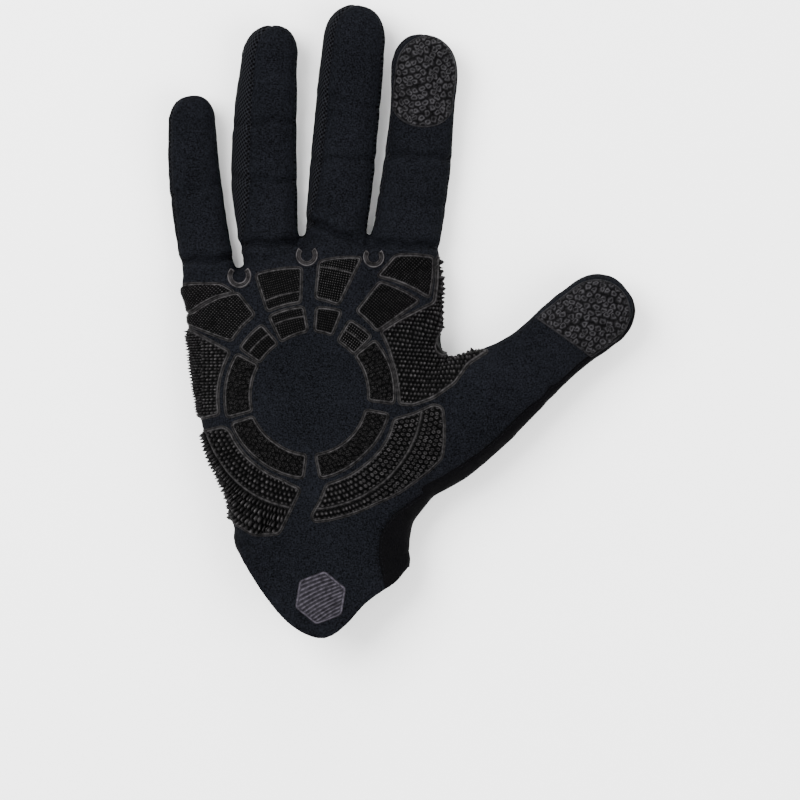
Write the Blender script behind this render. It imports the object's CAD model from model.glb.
"""A right-hand full-finger cycling glove, palm up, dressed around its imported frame.

All working lengths are millimetres in the frame's own axes, and a mesh is turned to metres when it is
made. Every limb is a tube of rounded sections. The tubes are joined into one skin, which is folded,
creased and cut along the same seams as the frame's. Grip pads, rings, touch tips and the badge are
fine sheets that follow the skin.
"""
import logging
import math
from dataclasses import dataclass, field
from enum import Enum

import bpy
import numpy as np
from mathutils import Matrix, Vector
from mathutils.bvhtree import BVHTree


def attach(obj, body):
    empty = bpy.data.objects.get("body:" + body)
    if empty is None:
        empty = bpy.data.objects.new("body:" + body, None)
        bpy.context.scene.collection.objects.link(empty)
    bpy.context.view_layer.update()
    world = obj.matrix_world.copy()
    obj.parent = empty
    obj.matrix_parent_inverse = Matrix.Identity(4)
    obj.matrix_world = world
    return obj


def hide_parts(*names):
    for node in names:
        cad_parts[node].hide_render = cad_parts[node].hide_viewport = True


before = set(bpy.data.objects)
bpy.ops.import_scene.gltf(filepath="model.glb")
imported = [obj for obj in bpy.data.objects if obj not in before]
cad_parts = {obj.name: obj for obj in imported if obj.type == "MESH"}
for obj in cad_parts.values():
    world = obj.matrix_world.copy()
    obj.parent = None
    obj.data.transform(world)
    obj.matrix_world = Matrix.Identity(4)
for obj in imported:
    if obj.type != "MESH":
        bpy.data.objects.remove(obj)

Array = np.ndarray
MM = 0.001
log = logging.getLogger("glove")


def smoothstep(value: Array, low: float, high: float) -> Array:
    """Rises smoothly from 0 at low to 1 at high."""
    share = np.clip((value - low) / (high - low), 0, 1)
    return share * share * (3 - 2 * share)


def bell(value: Array, width: float) -> Array:
    """A bell curve: 1 at zero, and 1/e where the value reaches the width."""
    return np.exp(-((value / width) ** 2))


def eased(at: Array, stations: Array, values: Array) -> Array:
    """Passes a smooth curve through a table.

    Args:
        at: where the curve is read.
        stations: the table's rising places.
        values: the table's values.

    Returns:
        A cubic through the values, whose slope at each is that of a parabola through its neighbours.
    """
    slopes = np.gradient(values, stations)
    i = np.clip(np.searchsorted(stations, at) - 1, 0, len(stations) - 2)
    width = stations[i + 1] - stations[i]
    t = np.clip((at - stations[i]) / width, 0, 1)
    start = (1 + 2 * t) * (1 - t) ** 2 * values[i] + t * (1 - t) ** 2 * width * slopes[i]
    end = t * t * (3 - 2 * t) * values[i + 1] + t * t * (t - 1) * width * slopes[i + 1]
    return start + end


def section(angle: Array, power: float) -> tuple[Array, Array]:
    """A rounded section: cosine and sine, each raised to 2 over the power with its sign kept."""
    across = np.sign(np.cos(angle)) * np.abs(np.cos(angle)) ** (2 / power)
    up = np.sign(np.sin(angle)) * np.abs(np.sin(angle)) ** (2 / power)
    return across, up


def inside(points: Array, outline: Array) -> Array:
    """Distance from an outline's edge in the XY plane, above zero inside it.

    Args:
        points: places, of which the first two columns are read.
        outline: the corners of a closed outline.

    Returns:
        The distance to the nearest edge, with its sign from counting the edges to the right.
    """
    x, y = points[:, 0], points[:, 1]
    nearest = np.full(len(points), 1e9)
    within = np.zeros(len(points), bool)
    for start, end in zip(outline, np.roll(outline, -1, axis=0)):
        edge = end - start
        share = np.clip(((x - start[0]) * edge[0] + (y - start[1]) * edge[1]) / (edge @ edge), 0, 1)
        gap = np.hypot(x - start[0] - share * edge[0], y - start[1] - share * edge[1])
        nearest = np.minimum(nearest, gap)
        if edge[1] != 0:
            crossing = start[0] + (y - start[1]) / edge[1] * edge[0]
            within ^= ((start[1] > y) != (end[1] > y)) & (x < crossing)
    return np.where(within, nearest, -nearest)


def mapped(rows: tuple, across: float, up: float) -> Array:
    """Turns rows of two shares into places: the first times across, the second times up."""
    return np.array(rows, float)[:, :2] * (across, up)


@dataclass
class Palm:
    """The palm and cuff: one rounded tube from beyond the cuff to the web."""

    width: float = 93.0
    height: float = 27.0
    press: float = 1.5
    floor_rise: float = 0.16
    half_rise: float = 0.68
    power: float = 2.6
    seam_height: float = 6.0
    web_seam_height: float = 8.0
    web_reach: float = 60.5
    web_arch: float = 11.0
    notch_across: float = 0.281
    notch_depth: float = 3.4
    cuff_reach: float = 88.0
    back_cuff_reach: float = 71.0
    # along, left, right, thick
    sections: tuple = (
        (-1.12, -0.301, 0.398, 0.96),
        (-0.85, -0.296, 0.393, 0.97),
        (-0.68, -0.288, 0.39, 0.98),
        (-0.57, -0.298, 0.396, 1),
        (-0.51, -0.303, 0.413, 1.01),
        (-0.455, -0.305, 0.458, 1.02),
        (-0.34, -0.345, 0.51, 1.03),
        (-0.227, -0.39, 0.54, 1.01),
        (-0.114, -0.418, 0.56, 0.98),
        (0, -0.437, 0.56, 0.95),
        (0.165, -0.454, 0.545, 0.91),
        (0.33, -0.465, 0.512, 0.87),
        (0.5, -0.476, 0.495, 0.82),
        (0.66, -0.486, 0.492, 0.77),
        (0.81, -0.503, 0.496, 0.7),
        (0.91, -0.492, 0.49, 0.6),
        (0.97, -0.47, 0.47, 0.44),
        (1, -0.45, 0.45, 0.16),
    )
    # across, up, reach, rise
    mounds: tuple = (
        (0, 0.03, 0.215, -0.096),
        (0.366, -0.264, 0.161, 0.059),
        (-0.29, -0.231, 0.172, 0.044),
        (0.022, 0.628, 0.183, 0.03),
    )
    # place across, lowest and highest place along, rise, in millimetres
    bulges: tuple = (
        (-44, -14, 26, 0.9),
        (-38, -40, -14, 0.9),
        (47, 22, 50, 1.9),
        (59, -42, 0, 0.6),
    )
    # across, down
    tongue_edge: tuple = (
        (-0.5, 0.56),
        (-0.289, 0.63),
        (-0.257, 0.69),
        (-0.185, 0.81),
        (-0.085, 0.935),
        (0, 0.99),
        (0.04, 1),
        (0.085, 0.99),
        (0.155, 0.93),
        (0.21, 0.865),
        (0.27, 0.815),
        (0.34, 0.765),
        (0.385, 0.71),
        (0.6, 0.62),
    )
    # across, down
    back_edge: tuple = (
        (-0.5, 0.72),
        (-0.29, 0.77),
        (-0.12, 0.93),
        (0.04, 1),
        (0.22, 0.96),
        (0.39, 0.88),
        (0.6, 0.8),
    )
    # across, up
    web_edge: tuple = (
        (-0.41, 0.72),
        (-0.275, 0.83),
        (-0.15, 0.93),
        (-0.03, 1),
        (0.09, 1.01),
        (0.226, 0.975),
        (0.36, 0.9),
        (0.36, 0.6),
        (-0.41, 0.6),
    )
    # across, along
    radial_seam: tuple = (
        (0.446, -0.4),
        (0.372, -0.455),
        (0.327, -0.489),
        (0.296, -0.534),
        (0.273, -0.585),
        (0.269, -0.664),
        (0.288, -0.765),
        (0.32, -0.86),
        (0.4, -1.2),
    )
    # across, up
    upper_outline: tuple = (
        (0.42, 0),
        (0.6, 0.12),
        (0.66, 0.4),
        (0.6, 0.76),
        (0.4, 0.7),
        (-0.2, 0.66),
        (-0.42, 0.64),
    )

    def web_fall(self, x: Array) -> Array:
        """How far the web falls back towards the wrist: half a cosine wave to each side, and a notch."""
        turn = np.pi * np.clip((x - self.width * 0.1075) / (self.width * 0.43), -1, 1)
        notch = self.notch_depth * bell(x + self.width * self.notch_across, self.notch_depth)
        return self.web_arch * (1 - np.cos(turn)) / 2 + notch

    def mound(self, x: Array, y: Array, up: Array) -> Array:
        """How far the palm's cloth is raised: a sum of bell curves, on the upper half only."""
        total = np.zeros(np.broadcast(x, y, up).shape)
        for across, along, reach, rise in self.mounds:
            apart = np.hypot(x - across * self.width, y - along * self.web_reach)
            total = total + rise * self.height * bell(apart, reach * self.width)
        return total * np.clip(up, 0, 1)

    def rings(self) -> Array:
        """Rings of points, one for each small step along the palm."""
        rows = np.array(self.sections, float)
        along = np.linspace(rows[0, 0], rows[-1, 0], 190)
        left, right, thick = (eased(along, rows[:, 0], rows[:, k])[:, None] for k in (1, 2, 3))
        across, up = section(np.linspace(0, 2 * np.pi, 220, endpoint=False), self.power)
        x = ((left + right) / 2 + (right - left) / 2 * across) * self.width
        y = (along * np.where(along < 0, self.cuff_reach, self.web_reach))[:, None]
        half = thick * self.height / 2
        middle = self.height * self.floor_rise + half * self.half_rise - self.press
        z = middle + half * up + self.mound(x, y, up)
        y = y - smoothstep(along, 0.3, 0.95)[:, None] * self.web_fall(x)
        return np.stack([x, y, np.maximum(z, 0)], axis=-1)

    def covers(self, points: Array) -> Array:
        """Above zero where the palm cloth covers the palm or the web, as a distance from its seams."""
        out = self.width * 0.93
        seam = mapped(self.radial_seam, self.width, self.cuff_reach)[::-1]
        outline = np.vstack(
            [
                [(-out, self.web_reach * 0.76), (-out, -self.cuff_reach * 1.2)],
                seam,
                [(self.width * 0.4, -self.cuff_reach * 0.3)],
                mapped(self.upper_outline, self.width, self.web_reach),
            ]
        )
        web = mapped(self.web_edge, self.width, self.web_reach)
        base = np.minimum(inside(points, outline), points[:, 2] - self.seam_height)
        top = np.minimum(inside(points, web), points[:, 2] - self.web_seam_height)
        return np.maximum(base, top)

    def bulge(self, points: Array) -> Array:
        """How far the cloth stands out at the hand's two sides, where the thick pads stretch it."""
        x, y = points[:, 0], points[:, 1]
        total = np.zeros(len(points))
        for across, low, high, rise in self.bulges:
            along = smoothstep(y, low - 6, low + 6) * smoothstep(high + 6 - y, 0, 12)
            total += rise * along * bell(x - across, 7)
        return total

    def kept(self, points: Array) -> Array:
        """Distance up from the cuff's edge, which passes from the back's curve to the tongue's."""
        tongue = mapped(self.tongue_edge, self.width, -self.cuff_reach)
        back = mapped(self.back_edge, self.width, -self.back_cuff_reach)
        x = np.clip(points[:, 0], tongue[0, 0], tongue[-1, 0])
        front = points[:, 1] - eased(x, tongue[:, 0], tongue[:, 1])
        rear = points[:, 1] - eased(x, back[:, 0], back[:, 1])
        share = smoothstep(points[:, 2], 9, 15)
        return (front * share + rear * (1 - share)) * 0.8

    def radial(self, points: Array) -> Array:
        """Above zero on the thumb's back and the radial side of the cuff."""
        rows = ((0.235, -1.1), (0.235, -0.6), (0.29, -0.49), (0.37, -0.39), (0.46, -0.1), (0.545, 0.21))
        inner = mapped(rows, self.width, self.cuff_reach)
        return inside(points, np.vstack([inner, [(134.5, 78.5), (134.5, -96.8)]]))


class Limb:
    """What the fingers and the thumb share: a centre line that places are told along and across."""

    def axes(self) -> tuple[Array, Array, Array]:
        """Its root, its direction and the direction to its thumb side, in the XY plane."""
        raise NotImplementedError

    def reach(self) -> float:
        """Its length in millimetres."""
        raise NotImplementedError

    def bowed(self, share: Array) -> Array:
        """How far its centre line is bent sideways: not at all, unless a limb says otherwise."""
        return 0 * share

    def place(self, share: Array, across: Array, height: Array) -> Array:
        """Turns a share of its length, a distance across and a height into places."""
        root, along, side = self.axes()
        flat = root + along * (share * self.reach())[..., None]
        flat = flat + side * (across + self.bowed(share))[..., None]
        return np.concatenate([flat, height[..., None]], axis=-1)

    def local(self, points: Array) -> tuple[Array, Array]:
        """The share of its length and the distance across, for places."""
        root, along, side = self.axes()
        share = (points[:, :2] - root) @ along / self.reach()
        return share, (points[:, :2] - root) @ side - self.bowed(share)


@dataclass
class Finger(Limb):
    """One finger: a tube from its root in the palm to its round tip."""

    name: str
    across: float
    length: float
    widths: tuple
    height: float
    lean: float
    bow: float
    left_seam: float
    right_seam: float
    creases: tuple
    drawn_in: tuple = (0.4, 0.4)
    up: float = 0.62
    palm: Palm = field(default_factory=Palm)
    full_length: float = 105.9
    full_width: float = 24.0
    full_height: float = 15.2
    power: float = 2.2
    press: float = 0.9
    tip_lift: float = 3.5
    root_rise: float = 1.3
    crease_width: float = 1.05

    def reach(self) -> float:
        """The finger's length in millimetres."""
        return self.length * self.full_length

    def axes(self) -> tuple[Array, Array, Array]:
        """Its root, its direction and the direction to its thumb side, in the XY plane."""
        lean = math.radians(self.lean)
        along = np.array([math.sin(lean), math.cos(lean)])
        root = np.array([self.across * self.palm.width, self.up * self.palm.web_reach])
        return root, along, np.array([along[1], -along[0]])

    def half_width(self, share: Array) -> Array:
        """Half its width, which goes smoothly from station to station."""
        stations = (0.15, 0.45, 0.7, 0.87)
        width = np.full(np.shape(share), self.widths[0], float)
        for i in range(3):
            step = smoothstep(share, stations[i], stations[i + 1])
            width = width + (self.widths[i + 1] - self.widths[i]) * step
        return width * self.full_width / 2

    def half_height(self, share: Array) -> Array:
        """Half its height, a little more at the root."""
        return self.height * self.full_height / 2 + self.root_rise * (1 - smoothstep(share, 0.08, 0.45))

    def middle_height(self, share: Array) -> Array:
        """How high its centre line is above the floor."""
        lift = self.tip_lift * np.clip(share, 0, 1) ** 2
        return self.half_height(share) - self.press + lift

    def bowed(self, share: Array) -> Array:
        """How far its centre line is bent sideways: half a sine wave."""
        return self.bow * self.full_width * np.sin(np.pi * np.clip(share, 0, 1))

    def rings(self) -> Array:
        """Rings of points. The tip's rings shrink as a cosine while they near the end as a sine."""
        tip = self.half_width(np.array(1.0)) * 1.14 / self.reach()
        turn = np.radians(np.linspace(0, 88, 26))[1:]
        share = np.concatenate([np.linspace(0, 1 - tip, 110), 1 - tip * (1 - np.sin(turn))])
        size = np.concatenate([np.ones(110), np.cos(turn) ** 0.9])
        size = size * (0.7 + 0.3 * smoothstep(share, 0, 0.12))
        across, up = section(np.linspace(0, 2 * np.pi, 84, endpoint=False), self.power)
        share, size = share[:, None], size[:, None]
        dx = self.half_width(share) * size * across
        root = 1 - smoothstep(share, 0.1, 0.42) + 0.3 * (1 - smoothstep(share, 0.12, 0.22))
        drawn = self.drawn_in[0] * np.maximum(-across, 0) - self.drawn_in[1] * np.maximum(across, 0)
        z = self.middle_height(share) + self.half_height(share) * size * up
        return self.place(share + 0 * dx, dx + drawn * root, np.maximum(z, 0))

    def left_angle(self, share: Array) -> Array:
        """Degrees up to its left seam, which sinks towards the web."""
        return self.left_seam * (0.3 + 0.7 * smoothstep(share, 0.06, 0.42))

    def covers(self, points: Array) -> Array:
        """Above zero where the palm cloth covers it: above a ray to each of its two seams."""
        share, across = self.local(points)
        height = points[:, 2] - self.middle_height(share)
        angle = np.radians(np.where(across < 0, self.left_angle(share), self.right_seam))
        wedge = height * np.cos(angle) - np.abs(across) * np.sin(angle)
        ends = np.minimum(share - 0.05, 1.06 - share) * self.reach()
        return np.minimum.reduce([wedge, ends, self.half_width(share) + 2 - np.abs(across)])

    def crease(self, points: Array) -> Array:
        """How far its front dips at its creases, with a soft roll on both sides of each."""
        share, across = self.local(points)
        edge = self.half_width(share) + 2.5
        near = smoothstep(edge - np.abs(across), 0, 2)
        total = np.zeros(len(points))
        for at, depth, tilt in self.creases:
            gap = (share - at) * self.reach() - tilt * across - 0.5 * np.sin(across * 0.55 + at * 20)
            total -= 1.7 * depth * bell(gap, self.crease_width) * near
            total += depth * 0.45 * (bell(gap - 3.2, 2.2) + bell(gap + 3.2, 2.2)) * near
        return total


@dataclass
class Thumb(Limb):
    """The thumb: a tube from inside the palm to its round tip."""

    palm: Palm = field(default_factory=Palm)
    length: float = 101.2
    width: float = 28.0
    height: float = 17.0
    power: float = 2.2
    angle: float = 36.5
    root_height: float = 13.5
    tip_height: float = 13.0
    # along, left, right, thick
    sections: tuple = (
        (-0.06, -0.56, 0.62, 1.15),
        (0.06, -0.7, 0.7, 1.4),
        (0.17, -0.72, 0.7, 1.42),
        (0.27, -0.69, 0.69, 1.34),
        (0.35, -0.63, 0.665, 1.24),
        (0.43, -0.55, 0.61, 1.14),
        (0.5, -0.475, 0.565, 1.06),
        (0.57, -0.438, 0.525, 1.01),
        (0.65, -0.45, 0.488, 0.98),
        (0.73, -0.485, 0.472, 0.97),
        (0.8, -0.495, 0.478, 0.96),
    )
    # along, web side, outer side
    seams: tuple = (
        (-0.04, -20, 30),
        (0.25, -20, 27),
        (0.5, -16, 25),
        (0.75, -8, 22),
        (1.1, -2, 18),
    )

    def axes(self) -> tuple[Array, Array, Array]:
        """Its root, its direction and the direction to its outer side, in the XY plane."""
        turn = math.radians(self.angle)
        along = np.array([math.cos(turn), math.sin(turn)])
        root = np.array([self.palm.width * 0.371, -self.palm.cuff_reach * 0.2443])
        return root, along, np.array([along[1], -along[0]])

    def middle_height(self, share: Array) -> Array:
        """How high its centre line is above the floor."""
        return self.root_height + (self.tip_height - self.root_height) * np.clip(share, 0, 1)

    def reach(self) -> float:
        """The thumb's length in millimetres."""
        return self.length

    def rings(self) -> Array:
        """Rings of points. The tip's rings shrink as a cosine while they near the end as a sine."""
        rows = np.array(self.sections, float)
        turn = np.radians(np.linspace(0, 88, 26))[1:]
        straight = np.linspace(rows[0, 0], rows[-1, 0], 120)
        tip = 1 - rows[-1, 0] - 0.06
        share = np.concatenate([straight, 1 - tip * (1 - np.sin(turn))])
        share[120:] = np.maximum(share[120:], rows[-1, 0] + 1e-4 * np.arange(1, 26))
        size = np.concatenate([np.ones(120), np.cos(turn) ** 0.85])[:, None]
        left, right, thick = (eased(share, rows[:, 0], rows[:, k])[:, None] for k in (1, 2, 3))
        across, up = section(np.linspace(0, 2 * np.pi, 120, endpoint=False), self.power)
        dx = ((left + right) / 2 + (right - left) / 2 * size * across) * self.width
        share = share[:, None] + 0 * dx
        z = self.middle_height(share) + thick * self.height / 2 * size * up
        return self.place(share, dx, np.maximum(z, 0))

    def covers(self, points: Array) -> Array:
        """Above zero where the palm cloth covers it: above a ray to each of its two seams."""
        rows = np.array(self.seams, float)
        share, across = self.local(points)
        web = np.interp(share, rows[:, 0], rows[:, 1])
        outer = np.interp(share, rows[:, 0], rows[:, 2])
        angle = np.radians(np.where(across < 0, web, outer))
        wedge = (points[:, 2] - self.middle_height(share)) * np.cos(angle)
        wedge = wedge - np.abs(across) * np.sin(angle)
        ends = np.minimum(share + 0.04, 1.1 - share) * self.length
        return np.minimum.reduce([wedge, ends, self.width * 0.9 - np.abs(across)])


class Slot(Enum):
    """The record's material slots."""

    CLOTH = "cloth"
    MESH = "mesh"
    STRETCH = "stretch"
    SILICONE = "silicone"
    TOUCH = "touch"


class Relief(Enum):
    """What stands on a pad's floor."""

    LATTICE = "small nubs in straight rows"
    DONUTS = "small round rings, set irregularly"
    SIDE_ROWS = "cones in level rows that get finer at the side"
    HEEL_SPIKES = "two bands of cones along arcs, the outer ones long"
    HEEL_RINGS = "two bands of studs along arcs, with pitted tops near the thumb"
    WEB_ROWS = "wide level rows of cones"


@dataclass
class Skin:
    """A triangle mesh whose points carry columns: x, y, z and any others that a cut interpolates."""

    points: Array
    triangles: Array

    def cut(self, value: Array, snap: float) -> tuple["Skin", Array, Array]:
        """Cuts every triangle along the line where a value is zero.

        A crossed edge gets a new point where the value, taken as straight between its ends, is zero.

        Args:
            value: one number for each point.
            snap: a point nearer zero than this counts as on the line.

        Returns:
            The cut skin, for each of its triangles the one it came from, and 1 or -1 for its side.
        """
        value = np.where(np.abs(value) < snap, 0.0, value)
        sign = np.sign(value)[self.triangles]
        mixed = (sign.max(1) > 0) & (sign.min(1) < 0)
        whole = np.flatnonzero(~mixed)
        crossed = np.flatnonzero(mixed)
        signs = sign[crossed]
        lone = np.where(
            (signs == 0).any(1),
            np.argmax(signs == 0, axis=1),
            np.argmax(signs * np.sign(signs.sum(1))[:, None] < 0, axis=1),
        )
        turn = (lone[:, None] + np.arange(3)) % 3
        corner = np.take_along_axis(self.triangles[crossed], turn, axis=1)
        side = np.take_along_axis(signs, turn, axis=1)
        one = side[:, 0] == 0
        count = len(self.points)
        pairs = np.concatenate([corner[one][:, [1, 2]], corner[~one][:, [0, 1]], corner[~one][:, [0, 2]]])
        pairs = np.sort(pairs, axis=1)
        keys, back = np.unique(pairs[:, 0] * count + pairs[:, 1], return_inverse=True)
        start, end = keys // count, keys % count
        share = (value[start] / (value[start] - value[end]))[:, None]
        points = np.vstack([self.points, self.points[start] * (1 - share) + self.points[end] * share])
        new = back.ravel() + count
        first, second = int(one.sum()), int((~one).sum())
        m, near, far = new[:first], new[first : first + second], new[first + second :]
        a, b = corner[one], corner[~one]
        triangles = [
            self.triangles[whole],
            np.column_stack([a[:, 0], a[:, 1], m]),
            np.column_stack([a[:, 0], m, a[:, 2]]),
            np.column_stack([b[:, 0], near, far]),
            np.column_stack([near, b[:, 1], b[:, 2]]),
            np.column_stack([near, b[:, 2], far]),
        ]
        parent = [whole, crossed[one], crossed[one], crossed[~one], crossed[~one], crossed[~one]]
        sides = [
            np.where(sign[whole].sum(1) >= 0, 1.0, -1.0),
            side[one][:, 1],
            side[one][:, 2],
            side[~one][:, 0],
            side[~one][:, 1],
            side[~one][:, 1],
        ]
        return Skin(points, np.vstack(triangles)), np.concatenate(parent), np.concatenate(sides)

    def part(self, chosen: Array) -> "Skin":
        """The chosen triangles with only the points that they use."""
        used, back = np.unique(self.triangles[chosen], return_inverse=True)
        return Skin(self.points[used], back.reshape(-1, 3))

    def edges(self) -> Array:
        """Its edges, each once."""
        pairs = np.sort(self.triangles[:, [0, 1, 1, 2, 2, 0]].reshape(-1, 2), axis=1)
        return np.unique(pairs, axis=0)

    def normals(self) -> Array:
        """Each point's direction out: the sum of its triangles' area vectors, made one long."""
        a, b, c = (self.points[self.triangles[:, k], :3] for k in range(3))
        area = np.cross(b - a, c - a)
        total = np.zeros((len(self.points), 3))
        for k in range(3):
            for axis in range(3):
                column = self.triangles[:, k]
                total[:, axis] += np.bincount(column, area[:, axis], len(self.points))
        return total / np.maximum(np.linalg.norm(total, axis=1), 1e-12)[:, None]

    def relax(self, rounds: int, weight: Array) -> None:
        """Moves every point part of the way to the mean of its neighbours, several times over."""
        edges = self.edges()
        near, far = np.concatenate([edges, edges[:, ::-1]]).T
        count = np.maximum(np.bincount(near, minlength=len(self.points)), 1)[:, None]
        for _ in range(rounds):
            columns = [np.bincount(near, self.points[far, k], len(self.points)) for k in range(3)]
            mean = np.column_stack(columns) / count
            self.points[:, :3] += (mean - self.points[:, :3]) * 0.5 * weight[:, None]

    def backed(self, under: Array) -> "Skin":
        """Closes an open sheet with a second layer and a rim.

        Args:
            under: where each point of the second layer lies.

        Returns:
            The sheet, its second layer turned over, and two triangles along every open edge.
        """
        count = len(self.points)
        t = self.triangles
        pairs = np.concatenate([t[:, [0, 1]], t[:, [1, 2]], t[:, [2, 0]]])
        keys = np.minimum(pairs[:, 0], pairs[:, 1]) * count + np.maximum(pairs[:, 0], pairs[:, 1])
        _, first, times = np.unique(keys, return_index=True, return_counts=True)
        a, b = pairs[first[times == 1]].T
        below = np.column_stack([under, self.points[:, 3:]])
        rim = [np.column_stack([b, a, a + count]), np.column_stack([b, a + count, b + count])]
        return Skin(np.vstack([self.points, below]), np.vstack([t, t[:, ::-1] + count, *rim]))

    def mesh(self, name: str) -> bpy.types.Object:
        """Makes it a smooth-shaded object in metres. Column 3, if there is one, becomes its relief."""
        made = bpy.data.meshes.new(name)
        made.vertices.add(len(self.points))
        made.vertices.foreach_set("co", (self.points[:, :3] * MM).astype(np.float32).ravel())
        made.loops.add(self.triangles.size)
        made.loops.foreach_set("vertex_index", self.triangles.astype(np.int32).ravel())
        made.polygons.add(len(self.triangles))
        made.polygons.foreach_set("loop_start", np.arange(0, self.triangles.size, 3, dtype=np.int32))
        made.update(calc_edges=True)
        made.polygons.foreach_set("use_smooth", np.ones(len(self.triangles), bool))
        if self.points.shape[1] > 3:
            relief = made.attributes.new("relief", "FLOAT", "POINT")
            relief.data.foreach_set("value", self.points[:, 3].astype(np.float32))
        made.validate()
        piece = bpy.data.objects.new(name, made)
        bpy.context.collection.objects.link(piece)
        return piece


def joined(parts: list[Array]) -> Skin:
    """Joins tubes given as rings of points. Each end is closed by its ring laid flat at its mean height."""
    points, triangles, total = [], [], 0
    for rings in parts:
        ends = rings[[0, -1]].copy()
        ends[:, :, 2] = ends[:, :, 2].mean(1)[:, None]
        rings = np.concatenate([ends[:1], rings, ends[1:]])
        rows, sides = rings.shape[:2]
        index = np.arange(rows * sides).reshape(rows, sides) + total
        low, high = index[:-1], index[1:]
        low_next, high_next = np.roll(low, -1, axis=1), np.roll(high, -1, axis=1)
        triangles.append(np.stack([low, high_next, low_next], -1).reshape(-1, 3))
        triangles.append(np.stack([low, high, high_next], -1).reshape(-1, 3))
        points.append(rings.reshape(-1, 3))
        total += rows * sides
    return Skin(np.vstack(points), np.vstack(triangles))


def remeshed(skin: Skin, size: float) -> Skin:
    """Makes one even skin round a set of joined tubes.

    Args:
        skin: closed tubes that pass into each other.
        size: the length of the new skin's faces.

    Returns:
        The outer skin. Each of its four-sided faces is cut in two along its shorter diagonal.
    """
    rough = skin.mesh("rough_hand")
    modifier = rough.modifiers.new("even", "REMESH")
    modifier.mode = "VOXEL"
    modifier.voxel_size = size * MM
    graph = bpy.context.evaluated_depsgraph_get()
    even = bpy.data.meshes.new_from_object(rough.evaluated_get(graph))
    points = np.empty(len(even.vertices) * 3, np.float32)
    even.vertices.foreach_get("co", points)
    corners = np.empty(len(even.loops), np.int32)
    even.loops.foreach_get("vertex_index", corners)
    points = points.reshape(-1, 3).astype(float) / MM
    quads = corners.reshape(-1, 4).astype(np.int64)
    first = np.linalg.norm(points[quads[:, 0]] - points[quads[:, 2]], axis=1)
    second = np.linalg.norm(points[quads[:, 1]] - points[quads[:, 3]], axis=1)
    turned = np.where((first > second)[:, None], np.roll(quads, -1, axis=1), quads)
    bpy.data.objects.remove(rough)
    bpy.data.meshes.remove(even)
    return Skin(points, np.vstack([turned[:, [0, 1, 2]], turned[:, [0, 2, 3]]]))


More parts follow.
